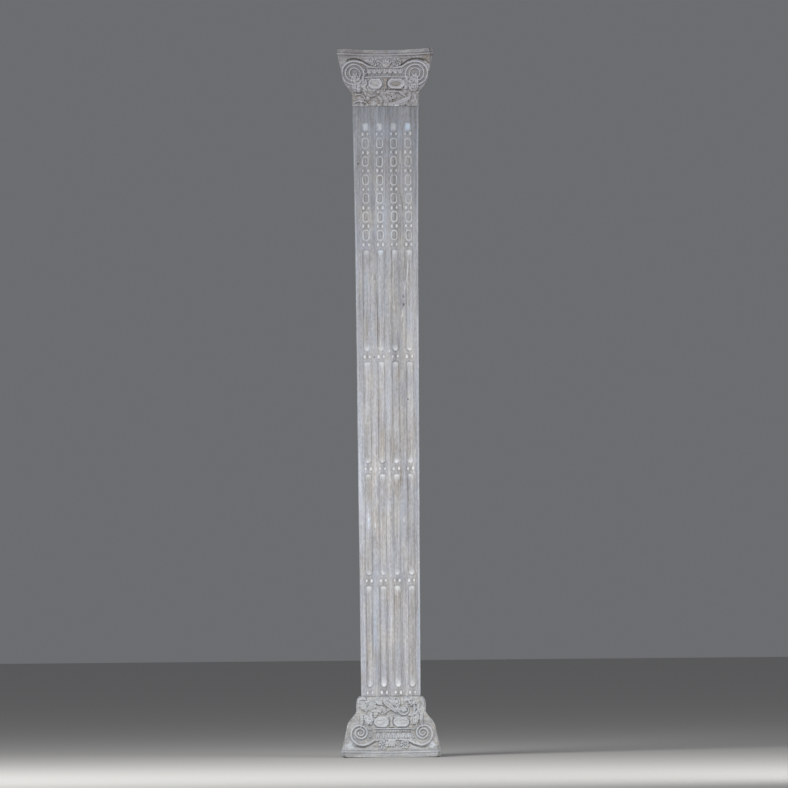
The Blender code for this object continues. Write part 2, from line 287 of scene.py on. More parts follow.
def wrappedPiece(name, sides, sharedRows):
    # four sides, each holding place (rows, columns, 3) with rows rising; the last three have only sharedRows
    places = np.concatenate([s["place"].reshape(-1, 3) for s in sides])
    sizes = [s["place"].shape[:2] for s in sides]
    starts = np.cumsum([0] + [a * b for a, b in sizes])
    index = [starts[k] + np.arange(a * b).reshape(a, b) for k, (a, b) in enumerate(sizes)]
    faces = []
    for grid in index:
        corners = [grid[:-1, :-1], grid[:-1, 1:], grid[1:, 1:], grid[1:, :-1]]
        faces += np.stack(corners, -1).reshape(-1, 4).tolist()
    for k in (1, 2):
        left, right = index[k][:, -1], index[k + 1][:, 0]
        faces += np.stack([left[:-1], right[:-1], right[1:], left[1:]], -1).tolist()
    frontRight, sideRight = index[0][:, -1].tolist(), index[1][:, 0].tolist()
    frontLeft, sideLeft = index[0][:, 0].tolist(), index[3][:, -1].tolist()
    for k, (low, high) in enumerate(zip(sharedRows, sharedRows[1:])):
        faces.append([sideRight[k], sideRight[k + 1]] + frontRight[low:high + 1][::-1])
        faces.append([sideLeft[k + 1], sideLeft[k]] + frontLeft[low:high + 1])
    walls = len(faces)
    extra = []
    endShare = 0.94  # how far in from the edge each end's inner ring lies
    for row, rising in ((0, False), (-1, True)):
        ring = np.concatenate([grid[row] for grid in index])
        inner = len(places) + sum(len(e) for e in extra) + np.arange(len(ring))
        inset = places[ring] * (endShare, endShare, 1.0)
        inset[:, 2] = inset[:, 2].min()
        extra.append(inset)
        nextRing, nextInner = np.roll(ring, -1), np.roll(inner, -1)
        order = [ring, nextRing, nextInner, inner] if rising else [inner, nextInner, nextRing, ring]
        faces += np.stack(order, -1).tolist()
        faces.append((inner if rising else inner[::-1]).tolist())
    mesh = bpy.data.meshes.new(name)
    mesh.from_pydata(np.concatenate([places] + extra).tolist(), [], faces)
    smooth = np.ones(len(faces), bool)
    smooth[walls:] = False
    mesh.polygons.foreach_set("use_smooth", smooth)
    spare = sum(len(e) for e in extra)
    for layer, rest in (("pale", 0.1), ("dark", 0.15), ("bare", 0.3), ("cool", 0.0), ("tone", 0.85)):
        values = np.concatenate([s[layer].reshape(-1) for s in sides] + [np.full(spare, rest)])
        mesh.attributes.new(layer, "FLOAT", "POINT").data.foreach_set("value", values.astype(np.float32))
    piece = bpy.data.objects.new(name, mesh)
    bpy.context.scene.collection.objects.link(piece)
    print(name, "has", sum(len(f) - 2 for f in faces), "triangles")
    return piece


def carvedSide(face, place, tone, order=slice(None)):
    layers = {layer: getattr(face, layer)[order] for layer in ("pale", "dark", "bare", "cool")}
    return {"place": place[order] * mm, "tone": np.broadcast_to(tone, face.x.shape)[order], **layers}


def turned(x, out, z, quarter):
    # a place on one of the four sides: x across it, out from the axis
    c, s = round(math.cos(math.pi / 2 * quarter)), round(math.sin(math.pi / 2 * quarter))
    return np.stack([x * c + out * s, x * s - out * c, z], -1)


def spread(stops):
    # columns or rows between stops (place, step): each stretch is split into even steps
    line = [stops[0][0]]
    for (a, step), (b, _) in zip(stops, stops[1:]):
        count = max(1, int(round((b - a) / step)))
        line += [a + (b - a) * (i + 1) / count for i in range(count)]
    return np.array(line)


# shaft: four strips of carving between plain margins

shaftLook = {
    "footHalf": 92.4, "evenGain": 7, "flareGain": 4.3, "flarePower": 6,
    "arris": 2.5, "stripPitch": 44, "stripShift": 1.5, "strips": 4,
    "fluteWidth": 22.6, "fluteDeep": 4.6, "fluteLong": 317, "tierPitch": 347.5, "tiers": 4, "firstRise": 27,
    "framePitch": 57.2, "frames": 6, "frameTall": 32, "frameWide": 20.8, "frameLine": 1.25, "frameDeep": 2.2,
    "frameCorner": (4.8, 6.4), "dotSpread": 7.9, "dotRadius": 3.7, "dotDeep": 2.4,
    "scoopTall": 26.5, "scoopWide": 19, "scoopRise": 21.5, "scoopPaint": (1.1, 0.9, 0.85, 1.4),
    "lowestFoot": 24, "scoopShine": (0.10, 0.12, 0.04, 0.12), "scoopCool": (0.35, -0.3, 0, 1),
    "sideFoot": 30, "sideHead": 50,
    # darker towards the top: partly the paint's own tone and partly painted shade for the light falling off
    "toneAt": (184, 400, 640, 900, 1410, 1750, 1930, 2025),
    "tone": (1.02, 1.02, 1.01, 0.99, 0.83, 0.68, 0.56, 0.46),
    # holes: x, height, half width, half height
    "holes": (
        (50, 1431, 1.7, 4), (50.6, 1405, 2, 4.8), (-42, 1242, 2, 2.2),
        (61.5, 1110, 1.9, 2.3), (-86.5, 1843, 2.3, 2.7),
    ),
    # brown stains and pale washes: x, height, half width, half height, strength (pale above zero)
    "washes": (
        (74, 1014, 6, 80, -0.55), (79, 655, 5, 60, -0.45), (42, 592, 5, 22, -0.5), (6, 1200, 8, 75, 0.4),
        (-3, 1975, 34, 17, -0.3), (12, 1610, 9, 60, -0.3), (-62, 1330, 6, 90, -0.3), (38, 880, 7, 90, -0.3),
        (-22, 700, 6, 110, -0.25), (56, 330, 6, 70, -0.25), (-84, 900, 7, 200, 0.25),
        (86, 1500, 6, 220, 0.25), (-20, 1690, 14, 60, 0.25), (-30, 420, 6, 80, 0.3),
        (25, 967, 6, 30, -0.45), (-19, 985, 6, 55, -0.4), (0, 1248, 8, 16, -0.4), (-65, 612, 6, 40, -0.4),
        (56, 600, 5, 36, -0.35), (-12, 385, 8, 34, -0.35), (69, 465, 6, 40, -0.3), (22, 480, 5, 30, -0.35),
        (2, 1060, 6, 90, 0.3), (-49, 480, 6, 60, 0.35), (-64, 738, 5, 30, 0.7), (30, 830, 6, 50, -0.4),
        (-79, 812, 5, 30, -0.3), (5, 268, 14, 22, -0.35), (-28, 1500, 5, 40, 0.45),
        (-54, 1548, 5, 14, -0.4), (24, 1320, 10, 30, -0.35),
    ),
    # bluish and greenish washes of the same kind
    "tints": (
        (0, 1120, 8, 110, 0.8), (-84, 1100, 9, 260, 0.6), (-43, 1260, 8, 70, 0.7), (0, 1650, 30, 150, 0.8),
        (-6, 1950, 70, 40, 0.9), (-49, 470, 9, 110, 0.9), (-6, 420, 8, 60, 0.7), (92, 420, 8, 150, 0.8),
        (-70, 1480, 20, 90, 0.5), (62, 1760, 12, 90, 0.6), (44, 820, 8, 120, 0.6), (-45, 360, 8, 60, 0.9),
        (-64, 738, 7, 40, 0.9), (-22, 1500, 9, 60, 0.9), (-64, 1460, 10, 70, 0.6), (-40, 560, 8, 90, 0.6),
    ),
    # cracks, nicks and scratches: points, width, depth, dirt, paint
    "scratches": (
        (((15, 1576), (16.5, 1530), (14.5, 1480)), 1.8, 1.5, 0.8, 0),
        (((35, 1507), (46, 1506), (58, 1508)), 2.4, 1, 0.7, 0),
        (((-50, 1504), (-44, 1502)), 2.4, 1, 0.7, 0),
        (((36, 1714), (48, 1711), (61, 1706)), 2.6, 0.9, 0, 1.1),
        (((44.5, 1888), (43, 1850), (36.5, 1812)), 2.2, 0.7, 0, 0.8),
        (((38, 1775), (46, 1730), (47, 1690), (43, 1650)), 2, 0.6, 0.4, 0),
        (((44, 1745), (50, 1712), (52, 1690)), 3.4, 0.4, 0.5, 0),
        (((66, 1545), (61.5, 1495), (54, 1443)), 3, 0.4, 0, 1),
        (((51, 1395), (47, 1378), (44, 1362)), 3, 0.4, 0, 1),
        (((55, 1570), (56, 1545), (55, 1522)), 2, 0.8, 0.7, 0)),
    "drips": ((-43, 726, 2.6), (47, 739, 2.8), (-41, 463, 2.4), (48.7, 469, 2.6), (5, 1262, 3)),
}


def shaftCarving(look):
    low, high = shaftLow.z / mm, shaftHigh.z / mm
    length = high - low

    def halfWidth(z):
        t = (z - low) / length
        return look["footHalf"] + look["evenGain"] * t + look["flareGain"] * unit(t) ** look["flarePower"]

    order = np.arange(look["strips"]) - (look["strips"] - 1) / 2
    strips = [look["stripShift"] + look["stripPitch"] * float(i) for i in order]
    gap = look["tierPitch"] - look["fluteLong"]
    fluteFeet = [low + look["firstRise"] + i * look["tierPitch"] for i in range(look["tiers"])]
    framesFoot = fluteFeet[-1] + look["fluteLong"] + gap / 2
    frameMiddles = [framesFoot + look["framePitch"] * (i + 0.5) for i in range(look["frames"])]
    scoopMiddle = framesFoot + look["framePitch"] * look["frames"] + look["scoopRise"]
    dotLevels = [foot - gap / 2 for foot in fluteFeet] + [framesFoot + look["framePitch"] * i
                                                          for i in range(look["frames"] + 1)]

    # rows stand close together where the carving changes and far apart along the flutes
    stops = [(low, 2.0), (fluteFeet[0] + 22, 14.0)]
    for i, foot in enumerate(fluteFeet):
        head = foot + look["fluteLong"]
        for z in sorted(hole[1] for hole in look["holes"] if foot + 30 < hole[1] < head - 30):
            stops += [(max(z - 9, stops[-1][0]), 1.8), (z + 9, 14.0)]
        stops += [(head - 20, 1.9)]
        if i < look["tiers"] - 1:
            stops += [(head + gap + 20, 14.0)]
    stops += [(scoopMiddle + 18, 8.0), (high - 3, 1.5), (high, 1.5)]
    rows = spread(stops)
    edge = look["footHalf"] - look["arris"]
    stops = [(-edge, 2.2)]
    for x in strips:
        stops += [(x - 13.5, 1.3), (x + 13.5, 2.4)]
    columns = spread(stops + [(edge, 2.2)]) / edge
    half = halfWidth(rows)[:, None]
    z = np.repeat(rows[:, None], len(columns), 1)
    x = columns[None, :] * (half - look["arris"])
    face = Relief(x, z)
    shine = np.zeros_like(x)
    rng = np.random.default_rng(11)
    # hand-planed face with weathered grain standing along it
    face.height += 0.5 * ripple(x, z, 34, 420, 3) + 0.4 * ripple(x, z, 6, 260, 4)
    face.height += 0.3 * ripple(x, z, 2.6, 120, 5)

    for k, centre in enumerate(strips):
        dx = x - centre - 1.0 * ripple(z * 0 + k * 37, z, 1, 260, 21)
        for foot in fluteFeet:
            wide = look["fluteWidth"] / 2 * (1 + rng.uniform(-0.04, 0.05))
            reach = look["fluteLong"] / 2
            dz = z - foot - reach
            pull = np.where(dz > 0, np.clip(dz - (reach - wide * 0.7), 0, None) / 0.7,
                            np.clip(-dz - (reach - wide * 1.2), 0, None) / 1.2)
            power = np.where(dz > 0, 2.6, 2.0)
            q = np.clip((abs(dx / wide) ** power + (pull / wide) ** power) ** (1 / power), 0, 1.5)
            cup = unit(q)
            face.height -= look["fluteDeep"] * rng.uniform(0.85, 1.06) * (1 - cup ** 2.6)
            inside = q < 1
            headEnd = np.exp(-(np.clip(reach - dz, 0, None) / 14.0) ** 1.5) * rng.uniform(0.8, 1.7)
            footReach = look["lowestFoot"] if foot == fluteFeet[0] else 11.0
            footEnd = np.exp(-(np.clip(dz + reach, 0, None) / footReach) ** 1.5) * rng.uniform(0.7, 1.6)
            lean = 1 - 0.6 * abs(dx / wide)
            face.stain("pale", np.where(inside, (headEnd + footEnd) * (1 - q ** 6) * lean, 0))
            face.stain("pale", np.where(inside, 0.03 + 0.3 * ripple(x, z, 4, 90, 41 + k), 0))
            face.cool += np.where(inside, 0.3 * (headEnd + footEnd), 0)
            face.bare += np.where(inside, np.clip(0.85 * ripple(x, z, 14, 120, 61 + k), 0, 0.38), 0)
            rim = bell((q - 0.97) * wide, 1.5) * (1 + 0.6 * (dz < 6 - reach) - 0.3 * (dz > reach - 8))
            face.stain("dark", rim * unit(0.36 + 0.8 * ripple(x, z, 30, 70, 31 + k)))
        for middle in frameMiddles:
            strength = rng.uniform(0.75, 1.1) * (0.7 if k == 3 else 1.0)
            line = oblong(dx - rng.uniform(-0.6, 0.6), z - middle - rng.uniform(-1.0, 1.0),
                          look["frameWide"] * rng.uniform(0.94, 1.05),
                          look["frameTall"] * rng.uniform(0.96, 1.05), look["frameCorner"])
            cut = bell(line + 1.2, look["frameLine"])
            face.height -= look["frameDeep"] * strength * cut
            patchy = np.clip(0.85 + 0.9 * ripple(x, z, 9, 11, 51 + k), 0.25, 1.2)
            face.stain("pale", 1.5 * strength * cut * patchy)
            inner = ease(-1.5, -6.5, line)
            face.height += 0.9 * inner
            face.stain("bare", 0.12 * inner)
            face.stain("dark", 0.3 * bell(line - 1.6, 0.9))
            core = bell(line + 6.2, 1.1) * (abs(z - middle) < look["frameTall"] / 2)
            face.stain("dark", core * np.clip(0.3 + 0.9 * ripple(x, z, 3, 7, 71 + k), 0, 0.6))
        tall, wide = look["scoopTall"] / 2, look["scoopWide"] / 2
        q = unit((abs(dx / wide) ** 4 + abs((z - scoopMiddle) / tall) ** 4) ** 0.25)
        face.height -= look["fluteDeep"] * 0.8 * (1 - q ** 2.5)
        shade = 0.75 + 0.5 * (z - scoopMiddle) / look["scoopTall"]
        face.stain("pale", (1 - q ** 6) * look["scoopPaint"][k] * shade)
        face.cool += (1 - q ** 6) * look["scoopCool"][k]
        shine += (1 - q ** 6) * look["scoopShine"][k]
        for level in dotLevels:
            for side in (-1, 1):
                px = dx - side * (look["dotSpread"] + rng.uniform(-0.6, 0.6))
                pz = (z - level - rng.uniform(-0.9, 0.9)) / 1.6
                size = look["dotRadius"] * rng.uniform(0.8, 1.15)
                away = np.hypot(px, pz) / size
                cut = unit(1 - away ** 2)
                face.height -= look["dotDeep"] * cut
                face.stain("dark", 0.45 * bell(away - 1.25, 0.25))
                face.stain("pale", 2.0 * rng.uniform(0.55, 1.1) * cut ** 0.7)
            spot = blot(dx, z - level, 2.6, 6.5)
            face.stain("dark", rng.uniform(0.25, 0.7) * spot)

    coatsAndShading(face, 1, -0.55, 0.3)
    # marks where the real one has them
    for scratch in look["scratches"]:
        face.groove(*scratch)
    for mx, mz, wide, tall, strength in look["washes"]:
        spot = blot(x - mx, z - mz, wide, tall) * (0.8 + ripple(x, z, 3, 50, 91))
        face.bare += unit(-strength) * spot
        face.pale += unit(strength) * spot
    for mx, mz, wide, tall, strength in look["tints"]:
        spot = blot(x - mx, z - mz, wide, tall)
        spot = spot * np.clip(0.8 + 1.6 * ripple(x, z, 5, 60, 93), 0, 1.4)
        face.cool += strength * spot
        face.pale += 0.2 * strength * spot
    face.cool += 0.35 * ease(1450, 1850, z)
    for mx, mz, size in look["drips"]:
        face.stain("pale", 1.2 * unit(1.2 - np.hypot(x - mx, (z - mz) / 1.6) / size))
    # the holes are darkened inside with painted shade
    for mx, mz, wide, tall in look["holes"]:
        q = np.hypot((x - mx) / wide, (z - mz) / tall)
        face.height -= 3.0 * unit(1.3 - q ** 2)
        face.stain("dark", 1.4 * unit(1.6 - q ** 2))
        face.pale *= q > 1.2

    # the arrises are bruised and rounded unevenly
    for column, seed in ((0, 60), (-1, 61)):
        face.height[:, column] -= 0.9 * unit(ripple(rows, rows * 0, 45, 1, seed) + 0.1)
    chip = bell(rows - 1280, 7.0)
    face.height[:, -1] -= 1.8 * chip
    face.height[:, -2] -= 0.9 * chip
    face.cool += 0.8 * bell(abs(x) - half, 11.0) * (0.9 + 0.8 * ripple(x, z, 60, 300, 95))
    # a painted highlight along each arris, stronger on the right
    edgeHighlight = bell(half - look["arris"] - abs(x), 2.6) * np.where(x > 0, 0.6, 0.35)
    face.pale += edgeHighlight * np.clip(0.8 + 1.4 * ripple(x, z, 60, 110, 97), 0, 1.3)
    tone = np.interp(rows, look["toneAt"], look["tone"])[:, None]
    sides = [carvedSide(face, turned(x, half + face.height, z, 0), tone * (1 + shine))]

    # the sides and back have one long flute to each strip
    shared = [0]
    ends = (low + look["sideFoot"], high - look["sideHead"])
    for i in range(1, len(rows) - 1):
        near = min(abs(rows[i] - ends[0] - 6), abs(rows[i] - ends[1] + 6)) < 16
        if rows[i] - rows[shared[-1]] >= (3.4 if near else 22):
            shared.append(i)
    shared.append(len(rows) - 1)
    half = halfWidth(rows[shared])[:, None]
    stops = [(-edge, 5.0)]
    for centre in strips:
        stops += [(centre - look["stripShift"] - 12.5, 2.1), (centre - look["stripShift"] + 12.5, 5.0)]
    columns = spread(stops + [(edge, 5.0)]) / edge
    z = np.repeat(rows[shared][:, None], len(columns), 1)
    x = columns[None, :] * (half - look["arris"])
    for quarter in (1, 2, 3):
        face = Relief(x, z)
        face.height += 0.5 * ripple(x, z, 34, 420, 70 + quarter) + 0.5 * ripple(x, z, 7, 260, 80 + quarter)
        for centre in strips:
            dx = x - centre + look["stripShift"]
            reach = (ends[1] - ends[0]) / 2
            dz = abs(z - sum(ends) / 2)
            wide = look["fluteWidth"] / 2
            q = np.hypot(dx, np.clip(dz - (reach - wide), 0, None)) / wide
            face.height -= look["fluteDeep"] * (1 - unit(q) ** 2.6)
            endPaint = np.exp(-np.clip(reach - dz, 0, None) / 16)
            face.stain("pale", np.where(q < 1, endPaint * (1 - q ** 6), 0))
            face.stain("dark", 0.5 * bell(q - 0.95, 0.12))
        coatsAndShading(face, 1, -0.4, 0.3)
        sides.append(carvedSide(face, turned(x, half + face.height, z, quarter), tone[shared]))
    return sides, shared


# blocks: the base, and the capital, which is the base turned over

blockLook = {
    "middleHalf": 116.5, "facet": 15, "facetDeep": 60, "arris": 2.5,
    "fascia": 18.5, "fasciaStep": 2.5, "kneeDeep": 90,
    "step": 1.02, "sideStep": 2.3, "sink": 2.6, "fillet": 89, "panelMiddle": 109.5, "panelTall": 33,
    "reelMiddle": 110, "voluteSink": 1.8, "crestHigh": 3.6,
    # half width of the crest, by turns wound
    "crestHalf": ((0, 0.35, 1, 2.4), (4.4, 3.5, 3, 2.3)),
    # turns wound and distance from the eye along each volute's crest
    "spiral": (
        (0, 39.4), (0.1, 37), (0.35, 31.5), (0.6, 26.9), (1, 20.8), (1.35, 16.6), (1.7, 13.3),
        (2.4, 8.5),
    ),
    # lines along the outer edge: depth, half width, how deep, how much darker with dirt and painted shade
    "lines": (
        (4.5, 1, 0.5, 0.3), (8.5, 0.9, 0.4, 0.25), (12.4, 1.5, 1.6, 0.6), (19.6, 2.2, 2, 0.55),
        (24, 1, 0.6, 0.3), (27.5, 1, 0.5, 0.25),
    ),
}


def voluteCarving(face, cx, cd, side, spiral):
    # one crest comes from the middle over the top, round the outside and winds in to an eye
    at = face.around(cx, cd, 50)[0]
    dx, dd = (face.x[at] - cx) * side, face.d[at] - cd
    r = np.hypot(dx, dd) + 1e-6
    sweep = (math.radians(125) - np.arctan2(-dd, dx)) / (2 * math.pi) % 1.0
    crest = np.zeros_like(r)
    turns, radii = zip(*spiral)
    for arm in range(3):
        wound = sweep + arm
        half = np.interp(wound, *blockLook["crestHalf"])
        q = abs(r - np.interp(wound, turns, radii)) / half
        crest = np.maximum(crest, np.where(wound < turns[-1], dome(q), 0))
    disc = ease(42.5, 39.5, r)
    height = face.height[at] * (1 - disc) - blockLook["voluteSink"] * disc
    raised = np.maximum(height, height * (1 - crest) + blockLook["crestHigh"] * crest)
    face.height[at] = np.where(crest > 0, raised, height)
    face.height[at] += 1.2 * bell(r, 3.0)
    face.stain("dark", 0.34 * disc * (1 - crest), at)
    face.stain("pale", 0.42 * crest ** 2, at)


def eggBand(face, middle, span, pitch, count):
    field = ease(span[0] - 2, span[0] + 2, face.x) * ease(span[1] + 2, span[1] - 2, face.x)
    field = field * ease(middle - 14.5, middle - 11.5, face.d) * ease(middle + 14.5, middle + 11.5, face.d)
    face.height -= 2.0 * field
    face.stain("dark", 0.3 * field)
    for i in range(count):
        dx = face.x - (span[0] + span[1]) / 2 - pitch * (i - (count - 1) / 2)
        dd = face.d - middle + 2.5
        gap = np.hypot(dx, np.clip(dd, 0, None) * 0.8)
        cup = np.where((dd > -9.5) & (dd < 12), 3.0 * bell(gap - 6.2, 1.2), 0)
        egg = 3.0 * np.sqrt(unit(1 - (dx / 3.7) ** 2 - (dd / 8.0) ** 2))
        shape = np.maximum(cup, egg)
        inside = (gap < 8) & (field > 0.2)
        face.height = np.where(inside, np.maximum(face.height, shape - 2.0), face.height)
        face.stain("pale", np.where(inside, 0.09 * shape, 0))
        face.dark = np.where(inside & (shape > 1.5), face.dark * 0.25, face.dark)
    for i in range(2 * count + 1):
        face.berry(span[0] + (span[1] - span[0]) * i / (2 * count), middle + 11.5, 1.9, 1.2, deep=0.4)


def cartoucheCarving(face, cx, cd, wide, tall, leafy, brown):
    # a cut-cornered panel, dished inside its rim, with a pointed boss or a leaf lying in it
    at = face.around(cx, cd, wide * 0.75)[0]
    dx, dd = face.x[at] - cx, face.d[at] - cd
    dx, dd = dx + 1.2 * ripple(dx, dd, 16, 16, int(cx) + 90), dd + 1.2 * ripple(dx, dd, 14, 14, int(cx) + 190)
    line = oblong(dx, dd, wide, tall, (wide * 0.21, tall * 0.34))
    face.outlined(at, line, 1.4)
    rim = 4.6 * unit(1 - unit(1 + line / 2.4) ** 2) - 2.0 * ease(-3.5, -8.0, line)
    face.lift(at, line < 0, rim)
    face.height[at] = np.where(line < -2.4, rim, face.height[at])
    cloud = 0.75 + 0.7 * ripple(dx, dd, 9, 7, int(cx) + 290)
    face.pale[at] = np.where(line < 0, 0.44 * cloud, face.pale[at])
    face.dark[at] = np.where(line < -1, 0, face.dark[at])
    if leafy:
        face.leaf([(cx - leafy * wide * 0.42, cd + tall * 0.22), (cx - leafy * wide * 0.1, cd + tall * 0.30),
                     (cx + leafy * wide * 0.22, cd + tall * 0.12)], 10, 4.4, lobes=2, base=1.0)
    q = np.hypot((dx + 2) / (wide * 0.26), (dd + 0.5) / (tall * 0.17))
    boss = dome(q)
    face.height[at] += (1.0 + 2.0 * brown) * boss
    face.stain("bare", 1.3 * brown * boss, at)
    face.pale[at] *= 1 - 0.8 * brown * boss
    face.stain("dark", (0.15 + 0.55 * brown) * bell(q - 1.0, 0.3), at)


def reelCarving(face, cx, cd, tall, brown):
    at = face.around(cx, cd, tall * 0.6)[0]
    dx, dd = face.x[at] - cx, (face.d[at] - cd) / (tall / 2)
    q = abs(dx) / (4.0 + 4.5 * abs(np.clip(dd, -1, 1)) ** 2.2)
    inside = (q < 1) & (abs(dd) < 1)
    face.outlined(at, np.maximum((q - 1) * 5, (abs(dd) - 1) * tall / 2), 1.5)
    face.lift(at, inside, 5.0 * dome(q) - 1.2 * bell(dd, 0.16))
    face.stain("bare", np.where(inside, brown, 0), at)
    face.pale[at] *= 1 - 0.8 * inside * brown


def foliage(face, low, high, reach, seed, count):
    # small overlapping leaves that leave no bare ground behind the larger ones
    rng = np.random.default_rng(seed)
    for i in range(count):
        x = -reach + 2 * reach * ((i * 0.618 + rng.uniform(0, 0.05)) % 1.0)
        d = rng.uniform(low + 5, high - 5)
        a, long = rng.uniform(0, 2 * math.pi), rng.uniform(15, 24)
        bend = rng.uniform(-0.7, 0.7)
        face.leaf([(x, d), polar(x, d, 0.5 * long, a), polar(x, d, long, a + bend)],
                    rng.uniform(9, 13), rng.uniform(2.2, 3.4), lobes=int(rng.integers(0, 4)), deep=1.4)


def blockFront(face, own):
    # what capital and base share: volutes, the panel and eggs between them, cartouches and reel
    dip = own["scrollDip"]
    for side, (cx, cd) in ((-1, own["volutes"][0]), (1, own["volutes"][1])):
        voluteCarving(face, cx, cd, side, own["spiral"])
        scroll = across(0, side, (28, 60 - dip), (44, 58.5 - dip), (57, 52 - dip / 2), (71, 43))
        face.ridge(scroll, 7.5, 4.2, taper=-0.45, deep=0.6)
        edge = across(0, side, (36, 63.5 - dip), (48, 62 - dip), (60, 56 - dip / 2), (72, 48))
        face.groove(edge, 2, 1.3, dark=0.4)
        # the groove over each volute is darkened with painted shade, as under an overhang
        over = across(0, side, (44, 54), (58, 45), (74, 35.5), (94, 30.5), (112, 34), (124, 42))
        face.groove(over, 5.4, 4.5, dark=own["undercutShade"])
    for side, cx, cd, r in own["swirls"]:
        for k in range(7):
            a = 2 * math.pi * k / 7 + 0.3
            tip = (cx + r * math.cos(a + 0.75), cd + 0.92 * r * math.sin(a + 0.75))
            face.leaf([polar(cx, cd, 0.45 * r, a), polar(cx, cd, 0.8 * r, a + 0.25), tip], 6.5, 3.4, deep=0.9)
        face.swirl(cx, cd, r * 0.52, r * 0.16, 2.4 if side < 0 else 0.6, -1.3 * side, 3, 3.6)
    for tip, reach in ((-19, 36), (19, 36), (-9, 30), (9, 30), (0, 28)):
        face.leaf([(2 + tip * 0.15, 57), (2 + tip * 0.5, 48), (2 + tip, reach)], 9.5, 3.6, lobes=2)
    low, high = own["eggs"][1]
    for i in range(9):
        fx = low + (high - low) * (i + 0.5) / 9
        face.ridge([(fx - 6, 57.5 - dip), (fx, 60.5 - dip), (fx + 6, 57.5 - dip)], 2.6, 3.4, deep=0.5)
    eggBand(face, *own["eggs"])
    middle, fillet = (low + high) / 2, blockLook["fillet"]
    # the dark line under the fillet is painted shadow
    face.groove([(low - 2, 61.5 - dip), (middle, 62.5 - dip), (high + 2, 61.5 - dip)], 2.8, 1.2, dark=0.6)
    face.ridge([(low - 4, fillet), (middle, fillet), (high + 4, fillet)], 3.6, 3)
    face.stain("pale", 0.6 * bell(face.d - fillet, 1.7) * (face.x > low - 4) * (face.x < high + 4))
    tall = blockLook["panelTall"]
    for cx, wide, leafy, brown in own["cartouches"]:
        cartoucheCarving(face, cx, blockLook["panelMiddle"], wide, tall, leafy, brown)
    reelCarving(face, own["reel"][0], blockLook["reelMiddle"], tall, own["reel"][1])


capitalLook = {
    "knee": 133.5, "kneeDeep": 88, "collar": 144, "fasciaStep": 1.2, "cornerWear": (3, 3, 3, 4),
    "sag": (5.5, 0), "scrollDip": 0, "seed": 200, "undercutShade": 1.1, "softLeaves": 0.75,
    "spiral": (
        (0, 41), (0.1, 39), (0.35, 37), (0.6, 34.1), (1, 29.5), (1.35, 25.5), (2, 18),
        (2.9, 7.6),
    ),
    "volutes": ((-97.5, 77.5), (94, 78.5)), "swirls": ((-1, -32, 40, 14.5), (1, 36, 40, 14.5)),
    "eggs": (72, (-60, 57), 16.2, 7),
    "cartouches": ((-30.8, 45, 0, 0.35), (34, 54, 0, 1)), "reel": (0.8, 1.2),
    # darker towards the top: partly the paint's own tone and partly painted shade
    "toneAt": (0, 15, 30, 80, 120, 150, 180), "tone": (0.54, 0.56, 0.64, 0.68, 0.69, 0.66, 0.64),
}


